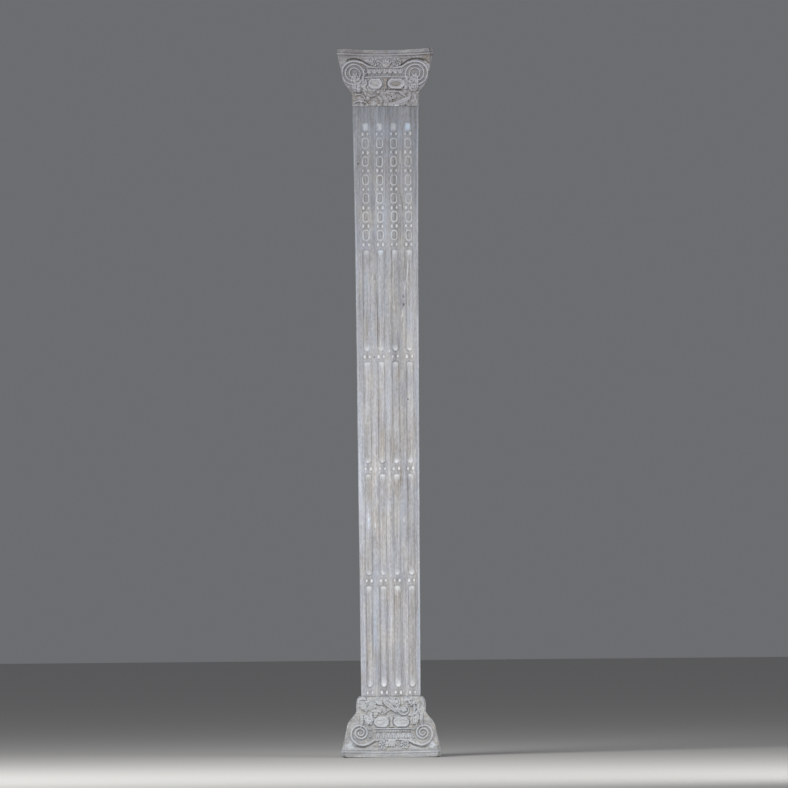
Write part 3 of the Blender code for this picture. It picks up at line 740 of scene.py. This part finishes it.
def capitalFront(face):
    foliage(face, 132, 182, 100, 31, 26)
    blockFront(face, capitalLook)
    face.groove([(103, 31), (118, 34), (132, 43), (146, 53)], 5, 2.6, dark=0.9)
    # sprays of berries and leaves that hang over the inner side of each volute
    for side, cx in ((-1, -96.0), (1, 94.0)):
        face.leaf(across(cx, side, (-30, 94), (-34, 106), (-30, 124)), 15, 4.4, lobes=3)
        face.leaf(across(cx, side, (-20, 112), (-30, 122), (-42, 132)), 13, 4.6, lobes=3, base=0.6)
        face.grains(across(cx, side, (1, 82), (-7, 106), (-14, 135)), 33, 5.2, 6.4, 5 + side, base=0.6)
        face.leaf(across(cx, side, (-24, 84), (-28, 98), (-24, 114)), 11, 5, lobes=3, base=0.8)
        face.leaf(across(cx, side, (6, 112), (2, 124), (-6, 138)), 13, 4.6, lobes=3, base=0.8)
    for bx, bd, r in ((-64.5, 66, 4.2), (-83, 96, 4.6), (-69, 108, 3.8), (67, 108, 4.0), (89, 130, 4.2),
                      (106, 113, 3.6), (-3, 130, 3.6), (-60, 78, 3.0), (62, 80, 3.2), (72, 92, 3.0)):
        face.berry(bx, bd, r, r + 1.8)
    # the dark lines under the left spray and the right cartouche are painted shadow
    face.groove([(-98, 135), (-84, 137), (-66, 135)], 3.4, 2.6, dark=1)
    face.groove([(10, 128), (36, 129.5), (62, 128)], 3.4, 2.8, dark=1.1)
    # the band of leaves above the shaft
    face.leaf([(10, 134), (28, 132.5), (46, 135)], 8, 4.6, base=0.5)
    face.leaf([(42, 133), (54, 142), (66, 153)], 11, 5, base=0.8)
    face.leaf([(76, 155), (44, 166), (10, 174)], 15, 4.8, base=0.8, vein=0.6)
    face.leaf([(-24, 148), (-14, 160), (-10, 172)], 11, 4.6, base=0.6)
    face.leaf([(-8, 148), (4, 158), (10, 171)], 12, 5, base=0.8)
    face.leaf([(6, 146), (14, 156), (20, 166)], 9, 4.2, base=0.6)
    face.swirl(21, 150, 7, 3, 0.4, 1.2, 3.2, 4.8)
    face.swirl(-23, 134.5, 5, 2, 2.4, -1.1, 2.8, 4.4)
    face.leaf([(-56, 141), (-44, 147), (-30, 146)], 10, 4.2, lobes=3, base=0.6)
    face.ridge([(-100, 170), (-88, 163), (-72, 164), (-60, 168), (-54, 176)], 4.6, 4.8)
    face.ridge([(-94, 144), (-80, 142), (-68, 148), (-64, 156)], 4.2, 4.4)
    face.leaf([(-90, 156), (-80, 152), (-72, 158)], 8, 4.4, base=0.4)
    face.leaf([(84, 138), (92, 150), (96, 166)], 11, 4.6, lobes=3, base=0.6)
    face.berry(94, 148, 3.6, 5.6)
    face.berry(74, 159, 3, 5)
    # scalloped lower edge, with the dark slits between it and the shaft painted as shadow
    foot = face.d.max()
    for i in range(11):
        sx = -92 + 18.2 * i
        at = face.around(sx, foot - 3, 12)[0]
        q = np.hypot(face.x[at] - sx, face.d[at] - foot + 2) / 8.6
        face.outlined(at, (q - 1) * 8.6, 1.0)
        face.lift(at, q < 1, 3.4 * dome(q) - 1.2 * bell(q - 0.55, 0.12))
    for a, b, strength in ((-57, -24, 1.0), (-20, -8, 0.6), (44, 66, 1.3), (84, 96, 0.5)):
        face.groove([(a, foot - 2), ((a + b) / 2, foot - 2.4), (b, foot - 2)], 3.8, 2.4, dark=strength)
    face.bare += 0.3 * ease(128, 140, face.d) * ease(foot + 1, foot - 12, face.d)
    face.bare += 1.1 * blot(face.x - 128, face.d - 28, 12, 10)
    face.dark += 0.5 * blot(face.x - 116, face.d - 20, 9, 2.2)
    face.bare += 0.5 * blot(face.x + 80, face.d - 146, 16, 7)
    face.pale += 0.9 * blot(face.x - 32, face.d - foot + 2, 11, 5)


baseLook = {
    "knee": 138, "collar": 143, "collarHalf": 107.8, "shoulder": 26, "cornerWear": (4, 3, 3, 3),
    "sag": (0, 3), "scrollDip": 4, "seed": 500, "undercutShade": 0.5, "softLeaves": 0.4,
    "spiral": (
        (0, 41), (0.1, 37.5), (0.2, 33), (0.35, 28), (0.6, 22.5), (0.85, 20), (1.1, 17.6),
        (1.35, 15.2), (1.6, 12.8), (2, 9), (2.4, 6.2),
    ),
    "volutes": ((-95, 76.5), (98.5, 76.5)), "swirls": ((-1, -24, 39.5, 15), (1, 42, 40, 13.5)),
    "eggs": (68.5, (-48, 62), 15.5, 7),
    "cartouches": ((-29.5, 46, 1, 0), (31.5, 50, -1, 0.05)), "reel": (1, 0.35),
    "toneAt": (0, 30, 60, 110, 150, 190), "tone": (0.95, 0.97, 1.01, 1, 0.99, 0.99),
}


def baseFront(face):
    foliage(face, 131, 190, 106, 61, 40)
    blockFront(face, baseLook)
    # the pale three-cornered tip of each horn
    for side in (-1, 1):
        tip = ease(10, 4, abs(face.x * side - 126) * 0.5 + abs(face.d - 36) * 0.62)
        face.height += 2.0 * tip
        face.stain("pale", 0.8 * tip)
    for side, cx in ((-1, -95.0), (1, 98.5)):
        face.leaf(across(cx, side, (-30, 130), (-34, 118), (-32, 100)), 15, 4.6, lobes=3)
        face.leaf(across(cx, side, (-18, 100), (-26, 90), (-36, 86)), 11, 4.2, lobes=2)
        face.leaf(across(cx, side, (-14, 134), (-18, 118), (-22, 98)), 15, 5, lobes=4, base=0.6)
        face.leaf(across(cx, side, (-2, 136), (-5, 116), (-1, 90)), 11, 6, vein=0.65, base=1)
        face.grains(across(cx, side, (-22, 128), (-25, 114), (-26, 102)), 13, 4.8, 5.6, 15 + side, 0.8)
    for bx, bd, r in ((-63, 113, 4.0), (76, 122.5, 4.2), (72.5, 111, 3.6), (79.4, 97.3, 3.8), (69, 63, 3.8),
                      (-74, 126, 3.6), (-66, 64, 3.4), (-86, 133, 3.4), (92, 134, 3.4)):
        face.berry(bx, bd, r, r + 1.8)
    face.groove([(-62, 130), (-36, 131), (-9, 130)], 3.2, 2.4, dark=0.8)
    face.groove([(10, 130), (22, 131), (34, 130)], 3, 1.8, dark=0.5)
    # the band of leaves under the shaft
    for cx, cd, r in ((-86, 160, 13.0), (-56, 160, 13.0)):
        face.rosette(cx, cd, r, 6, 4.4, turn=0.3 + cx)
    face.leaf([(-98, 178), (-88, 184), (-74, 180)], 10, 4.4, base=0.6)
    face.leaf([(-48, 178), (-38, 168), (-24, 162)], 12, 4.8, base=0.8)
    face.leaf([(-60, 142), (-46, 144), (-32, 139)], 10, 4.6, base=0.6)
    face.leaf([(-34, 158), (-22, 150), (-12, 138)], 11, 4.6, lobes=3, base=0.6)
    face.leaf([(-22, 172), (-2, 158), (17, 138)], 16, 5.6, base=1, vein=0.6)
    face.leaf([(-6, 178), (8, 166), (20, 156)], 10, 4.4, base=0.6)
    face.ridge([(12, 184), (22, 183), (28, 174), (27, 164)], 4.8, 4.6)
    face.swirl(40.5, 148, 19, 5, 2.9, 1.35, 5.2, 5.4)
    face.grains([(34, 152), (42, 149), (48, 144)], 13, 3.6, 5, 77)
    face.leaf([(52, 130), (62, 132), (72, 126)], 10, 4.8, base=0.8)
    face.ridge([(62, 160), (70, 167), (82, 165), (86, 156)], 5, 5.4)
    face.leaf([(72, 164), (73, 150), (70, 138)], 9, 5, base=0.6)
    face.leaf([(88, 166), (84, 152), (90, 140)], 12, 4.8, lobes=3, base=0.6)
    face.leaf([(92, 184), (99, 172), (101, 156)], 11, 4.8, base=0.8)
    face.leaf([(44, 182), (54, 178), (66, 181)], 10, 4.2, base=0.6)
    face.leaf([(-104, 150), (-102, 166), (-98, 180)], 9, 4.4)
    # holes, darkened inside with painted shade
    for hx, hd in ((62, 175), (78, 169), (-76, 185)):
        gap = np.hypot(face.x - hx, face.d - hd)
        face.height -= 3.0 * bell(gap, 2.6)
        face.stain("dark", 1.4 * bell(gap, 2.8))


def plainSide(face):
    # a side meant to be seen past the front: volutes, fillets, plain panels and broad leaves
    for side in (-1, 1):
        voluteCarving(face, side * 95.0, 77.0, side, blockLook["spiral"])
        face.ridge(across(0, side, (28, 60), (44, 58.5), (57, 52), (71, 43)), 7.5, 3.8, taper=-0.45)
        at = face.around(side * 33, 110, 40)[0]
        line = oblong(face.x[at] - side * 33, face.d[at] - 110, 48, 31, (10, 10))
        face.outlined(at, line, 1.4)
        face.lift(at, line < 0, 4.0 * unit(1 - unit(1 + line / 3.0) ** 2))
        face.height[at] -= 1.8 * ease(-4, -8, line)
        face.leaf(across(0, side, (68, 96), (74, 114), (76, 132)), 20, 4.6, lobes=4)
    face.ridge([(-34, 60), (0, 59), (34, 60)], 4, 3.2)
    face.ridge([(-62, 89), (0, 89), (62, 89)], 4, 3)
    for i in range(7):
        ex = 16.2 * (i - 3)
        face.leaf([(ex, 62.5), (ex, 72), (ex, 85)], 13, 4, vein=0)
    for i in range(5):
        lx = 38 * (i - 2) * 0.93
        face.leaf([(lx, 180), (lx, 160), (lx, 136)], 30, 4.4, lobes=4)
    for i in range(4):
        lx = 38 * (i - 1.5) * 0.93
        face.leaf([(lx, 180), (lx, 168), (lx, 152)], 14, 3.6)


def blockCarving(upward, look, carveFront):
    own = {**blockLook, **look}
    low, high = (capitalLow, capitalHigh) if upward else (baseLow, baseHigh)
    height = (high.z - low.z) / mm
    horn = high.x / mm
    neck = shaftLook["footHalf"] + (shaftLook["evenGain"] + shaftLook["flareGain"] if upward else 0)
    collar = own.get("collarHalf", neck)

    def corner(d):
        half = np.interp(d, [0, own["fascia"], own["fascia"] + 2.5, own["kneeDeep"]],
                         [horn, horn, horn - own["fasciaStep"], own["knee"]])
        t = unit((own["collar"] - d) / (own["collar"] - own["kneeDeep"]))
        swell = np.sin(math.pi / 2 * t ** 0.8) ** 2
        half = np.where(d > own["kneeDeep"], collar + (own["knee"] - collar) * swell, half)
        if collar <= neck:
            return half
        t = unit((d - (height - own["shoulder"])) / own["shoulder"])
        return np.where(t > 0, neck + (half - neck) * np.sqrt(1 - t * t), half)

    def middle(d):
        flat = np.minimum(collar, corner(d))
        return np.minimum(mix(own["middleHalf"], flat, unit(d / own["collar"])), corner(d))

    def mouldings(d):
        shape = 1.3 * bell(d - 16.0, 2.0)
        for place, width, deep, dirtAndShade in own["lines"]:
            shape = shape - deep * bell(d - place, width)
        return shape

    def sideOf(step, rows, quarter, carve, seed):
        tips = np.array([0.18, 0.4, 0.62, 0.84])
        count = int(2 * (horn - own["facet"]) / step)
        s = np.concatenate([-1 - tips[::-1], np.linspace(-1, 1, count), 1 + tips])
        s = np.repeat(s[None, :], len(rows), 0)
        d = np.repeat(rows[:, None], s.shape[1], 1)
        c, m = corner(d), middle(d)
        edge = c - mix(own["facet"], own["arris"], unit(d / own["facetDeep"]))
        t, tip, sign = np.clip(s, -1, 1), unit(abs(s) - 1), np.sign(s)
        x, out = t * edge, m + (c - m) * t ** 2
        inset = edge * (1 - abs(t))
        face = Relief(x.copy(), d.copy())
        # carved by eye: nothing is quite straight, except where two sides meet
        steady = ease(0, 24, inset)
        swayX = ripple(x, d, 26, 26, seed) + 0.7 * ripple(x, d, 11, 13, seed + 6)
        swayD = 1.3 * ripple(x, d, 34, 22, seed + 1) + 0.7 * ripple(x, d, 12, 10, seed + 7)
        face.x, face.d = face.x + swayX * steady, face.d + swayD * steady
        face.height += mouldings(face.d) - own["sink"] * ease(26, 33, face.d) * steady
        # the lines along the edge are darkened with dirt and painted shade
        for place, width, deep, dirtAndShade in own["lines"]:
            face.stain("dark", dirtAndShade * bell(face.d - place, width))
        face.stain("pale", 0.6 * bell(face.d - 16.0, 1.6))
        edges = mouldings(d)
        carve(face)
        # the band of leaves is the softest, most worn part
        worn = own["softLeaves"] * ease(126, 136, face.d)
        face.height = mix(face.height, blurred(face.height, (2, 2)), worn)
        face.dark *= 1 - 0.6 * worn
        # the moulding that follows the corner past the volute, down to the neck, its grooves darkened with
        # painted shade
        for place in (2.2, 6.0, 10.0):
            cut = bell(inset - place, 0.9) * ease(84, 100, d) * ease(142, 128, d)
            face.height -= 1.2 * cut
            face.stain("dark", 0.4 * cut)
        face.height = mix(edges, face.height, ease(0, 2.5 if quarter == 0 else 9.0, inset))
        if quarter:
            # the outline seen from the front stays as the corners draw it
            face.height = np.minimum(face.height - 3.6 * ease(112, 136, d) * steady, c - out + 0.8)
        # tool marks, grain and wear
        marks = 0.7 * ripple(x, d, 9, 7, seed + 2) * steady
        face.height += marks + 0.5 * ripple(x, d, 3.5, 3.5, seed + 4) * steady
        face.height += 0.6 * ripple(x, d, 60, 2.8, seed + 3) * ease(31, 25, d) * steady
        face.height = mix(face.height, blurred(face.height, (1, 1)), 0.6 if quarter == 0 else 0.4)
        coatsAndShading(face, 2 if quarter == 0 else 1, 0.32, 0.34)
        # each corner's own wear, the same on the two sides that meet there
        wear = np.where(s > 0, own["cornerWear"][quarter], own["cornerWear"][quarter - 1])
        mate = np.where(s > 0, quarter, (quarter - 1) % 4)
        seam = edges * 0.7 + 1.6 * ripple(d, mate * 9.0, 14, 1, own["seed"] + 9) - 0.6
        near = ease(0.55, 1.0, abs(s))
        face.height = mix(face.height, seam, ease(0, 0.6, tip))
        bruise = 1.8 + wear * near ** 2
        drop = unit(1 - d / bruise) ** 2 * bruise * 0.5
        target = (edge + c) / 2
        # towards the tip of a horn the relief stands out along the diagonal
        lean, diagonal = ease(0, 0.5, tip), 0.707
        px = mix(x, sign * target, tip) + sign * (diagonal * lean * face.height - drop * near)
        py = mix(out, target, tip) + (1 - (1 - diagonal) * lean) * face.height - drop
        # the outer edge sags along each side, and its corners are worn up from the floor
        lift = mix(*own["sag"], t ** 2) * ease(75, 0, d)
        z = (high.z / mm - d - lift) if upward else (low.z / mm + d + lift)
        tone = np.interp(d, own["toneAt"], own["tone"])
        return carvedSide(face, turned(px, py, z, quarter), tone, slice(None, None, -1 if upward else 1))

    count = int(round(height / own["step"] / 2)) * 2
    rows = np.linspace(0, height, count + 1)
    shared = list(range(0, count + 1, 2))
    sides = [sideOf(own["step"], rows, 0, carveFront, own["seed"])]
    for quarter in (1, 2, 3):
        sides.append(sideOf(own["sideStep"], rows[shared], quarter, plainSide, own["seed"] + 20 * quarter))
    return sides, shared


# finish: old wood under thin worn white paint

finishLook = {
    "shaft": {"cool": (0.368, 0.386, 0.438), "mild": (0.455, 0.445, 0.44), "bright": (0.76, 0.77, 0.78),
              "warm": (0.36, 0.32, 0.28), "wood": (0.23, 0.205, 0.185), "dirtAndShade": (0.13, 0.125, 0.12),
              "icy": (0.64, 0.74, 0.89), "cover": 0.80,
              "grain": (170, 4), "flake": (260, 90), "patch": (14, 6)},
    "base": {"cool": (0.42, 0.435, 0.47), "mild": (0.46, 0.46, 0.455), "bright": (0.66, 0.70, 0.75),
             "warm": (0.38, 0.335, 0.28), "wood": (0.25, 0.22, 0.195), "dirtAndShade": (0.22, 0.215, 0.21),
             "icy": (0.60, 0.70, 0.80), "cover": 0.80,
             "grain": (60, 190), "flake": (260, 260), "patch": (22, 22)},
    "capital": {"cool": (0.395, 0.405, 0.46), "mild": (0.44, 0.432, 0.445), "bright": (0.67, 0.68, 0.74),
                "warm": (0.34, 0.30, 0.265), "wood": (0.22, 0.195, 0.175), "dirtAndShade": (0.13, 0.115, 0.105),
                "icy": (0.60, 0.67, 0.78), "cover": 0.72,
                "grain": (60, 190), "flake": (260, 260), "patch": (22, 22)},
}


def paintedWood(name, look):
    material = bpy.data.materials.new(name)
    material.use_nodes = True
    tree = material.node_tree
    shader = tree.nodes["Principled BSDF"]

    def node(kind, links, out=0, **values):
        made = tree.nodes.new("ShaderNode" + kind)
        for key, value in values.items():
            setattr(made, key, value)
        for socket, source in links.items():
            if isinstance(source, bpy.types.NodeSocket):
                tree.links.new(source, made.inputs[socket])
            else:
                made.inputs[socket].default_value = source
        return made.outputs[out]

    def sums(operation, *sources, clamp=False):
        return node("Math", dict(enumerate(sources)), operation=operation, use_clamp=clamp)

    def ranged(value, low, high, fromLow=0.0, fromHigh=1.0):
        return node("MapRange", {"Value": value, "From Min": fromLow, "From Max": fromHigh,
                                 "To Min": low, "To Max": high})

    def blend(share, a, b, kind="MIX"):
        # inputs 6 and 7 are the two colours
        colours = {k: v if isinstance(v, bpy.types.NodeSocket) else (*v, 1) for k, v in ((6, a), (7, b))}
        return node("Mix", {0: share, **colours}, 2, data_type="RGBA", blend_type=kind)

    where = node("TexCoord", {}, "Object")

    def streaks(across, along, detail, seed):
        turn = node("Mapping", {"Vector": where, "Location": (seed, seed * 0.7, seed * 1.3),
                                "Scale": (across, across, along)})
        noise = node("TexNoise", {"Vector": turn, "Scale": 1.0, "Detail": detail, "Roughness": 0.6})
        return ranged(noise, 0.0, 1.0, 0.33, 0.67)

    (fineAcross, fineAlong), (patchAcross, patchAlong) = look["grain"], look["patch"]
    grain = streaks(fineAcross, fineAlong, 4, 1.0)
    broad = streaks(fineAcross * 0.3, fineAlong * 0.35, 3, 5)
    hair = streaks(fineAcross * 2.6, fineAlong * 3.0, 3, 21)
    patch = streaks(patchAcross, patchAlong, 4, 9.0)
    tint = streaks(patchAcross * 2.2, patchAlong * 1.5, 2, 17)
    flake = streaks(*look["flake"], 3, 13.0)
    pale, dark, bare, cool, tone = (node("Attribute", {}, "Fac", attribute_name=layer)
                                    for layer in ("pale", "dark", "bare", "cool", "tone"))

    # how much paint is left over the wood
    wood = blend(grain, look["wood"], look["warm"])
    paint = blend(sums("SUBTRACT", tint, cool, clamp=True), look["cool"], look["mild"])
    cover = sums("MULTIPLY_ADD", patch, 0.5, look["cover"] - 0.25)
    cover = sums("ADD", cover, sums("MULTIPLY_ADD", grain, 0.5, -0.25))
    cover = sums("ADD", cover, sums("MULTIPLY_ADD", flake, 0.4, -0.2))
    cover = sums("MULTIPLY_ADD", pale, 0.5, cover)
    cover = sums("MULTIPLY_ADD", bare, -0.9, cover, clamp=True)
    colour = blend(cover, wood, paint)
    for value, low in ((broad, 0.82), (hair, 0.84), (flake, 0.9)):
        colour = blend(1.0, colour, ranged(value, low, 2.02 - low), "MULTIPLY")
    # the pale layer brings in bright paint, painted highlights among it
    fill = sums("MULTIPLY", pale, ranged(flake, 0.5, 0.95), clamp=True)
    icy = sums("MULTIPLY_ADD", cool, 1.3, -0.85, clamp=True)
    colour = blend(fill, colour, blend(icy, look["bright"], look["icy"]))
    # the dark layer, real dirt and painted shade, darkens the colour
    shadeAndDirtShare = sums("MULTIPLY", dark, ranged(patch, 0.85, 0.6), clamp=True)
    colour = blend(shadeAndDirtShare, colour, look["dirtAndShade"])

    # the sawn ends show rings instead of paint
    facing = node("SeparateXYZ", {0: node("NewGeometry", {}, "Normal")}, "Z")
    ends = sums("GREATER_THAN", sums("ABSOLUTE", facing), 0.995)
    waves = {"Vector": where, "Scale": 30.0, "Distortion": 9.0, "Detail": 3.0, "Detail Scale": 0.5}
    rings = node("TexWave", waves, "Fac", wave_type="RINGS", rings_direction="Z")
    sawn = blend(rings, look["wood"], look["warm"])
    sawn = blend(sums("MULTIPLY_ADD", patch, 0.5, 0.15), sawn, look["mild"])
    # tone darkens the colour towards the top, partly as painted shade
    colour = blend(1.0, blend(ends, colour, sawn), tone, "MULTIPLY")
    bumps = sums("MULTIPLY_ADD", flake, 0.6, grain)
    bump = node("Bump", {"Height": bumps, "Strength": 0.45, "Distance": 0.0010})
    rough = ranged(flake, 0.66, 0.92)
    for socket, source in (("Base Color", colour), ("Roughness", rough), ("Normal", bump)):
        tree.links.new(source, shader.inputs[socket])
    shader.inputs["Specular IOR Level"].default_value = 0.3
    return material


carvings = {"shaft": shaftCarving(shaftLook), "capital": blockCarving(True, capitalLook, capitalFront),
            "base": blockCarving(False, baseLook, baseFront)}
for name, carved in carvings.items():
    piece = wrappedPiece("carved_" + name, *carved)
    piece.data.materials.append(paintedWood("worn_paint_" + name, finishLook[name]))
    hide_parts(name)
    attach(piece, "root")
    print("carved", name)


# floor, light and camera

stageLook = {
    "floor": (0.60, 0.59, 0.57), "floorHalf": 30, "floorRough": 0.85, "air": (0.15, 0.154, 0.162), "airPower": 1,
    "keyPower": 350, "keyPlace": (-2.8, -5.4, 4.2), "keySize": 3,
    "fillPower": 130, "fillPlace": (3.4, -4.8, 1.8), "fillSize": 4,
    "distance": 80, "eye": 1.1, "sideways": 0.0181, "pitch": 0.0197, "roll": 0.5165, "lens": 1176.3,
}


def floorSheet(look):
    mesh = bpy.data.meshes.new("floor")
    half = look["floorHalf"]
    corners = [(-half, -half, 0), (half, -half, 0), (half, half, 0), (-half, half, 0)]
    mesh.from_pydata(corners, [], [(0, 1, 2, 3)])
    floor = bpy.data.objects.new("floor", mesh)
    bpy.context.scene.collection.objects.link(floor)
    material = bpy.data.materials.new("pale_floor")
    material.use_nodes = True
    shader = material.node_tree.nodes["Principled BSDF"]
    shader.inputs["Base Color"].default_value = (*look["floor"], 1)
    shader.inputs["Roughness"].default_value = look["floorRough"]
    mesh.materials.append(material)


def softLight(name, power, place, size, target=(0, 0, 1.0)):
    data = bpy.data.lights.new(name, "AREA")
    data.shape = "DISK"
    data.energy = power
    data.size = size
    lamp = bpy.data.objects.new(name, data)
    lamp.location = place
    lamp.rotation_euler = (Vector(target) - Vector(place)).to_track_quat("-Z", "Y").to_euler()
    bpy.context.scene.collection.objects.link(lamp)


floorSheet(stageLook)
softLight("key", stageLook["keyPower"], stageLook["keyPlace"], stageLook["keySize"])
softLight("fill", stageLook["fillPower"], stageLook["fillPlace"], stageLook["fillSize"])
world = bpy.data.worlds.new("studio")
world.use_nodes = True
world.node_tree.nodes["Background"].inputs["Color"].default_value = (*stageLook["air"], 1)
world.node_tree.nodes["Background"].inputs["Strength"].default_value = stageLook["airPower"]
bpy.context.scene.world = world
bpy.context.scene.view_settings.view_transform = "Standard"

lens = bpy.data.cameras.new("camera")
lens.sensor_width = 36.0
lens.lens = stageLook["lens"]  # the picture shows no rear horn past a front one, so it was taken from far off
lens.clip_end = 2 * stageLook["distance"]
camera = bpy.data.objects.new("camera", lens)
camera.matrix_world = (Matrix.Translation((stageLook["sideways"], -stageLook["distance"], stageLook["eye"]))
                       @ Matrix.Rotation(math.radians(90 + stageLook["pitch"]), 4, "X")
                       @ Matrix.Rotation(math.radians(-stageLook["roll"]), 4, "Z"))
bpy.context.scene.collection.objects.link(camera)
bpy.context.scene.camera = camera
print("stage, light and camera set")
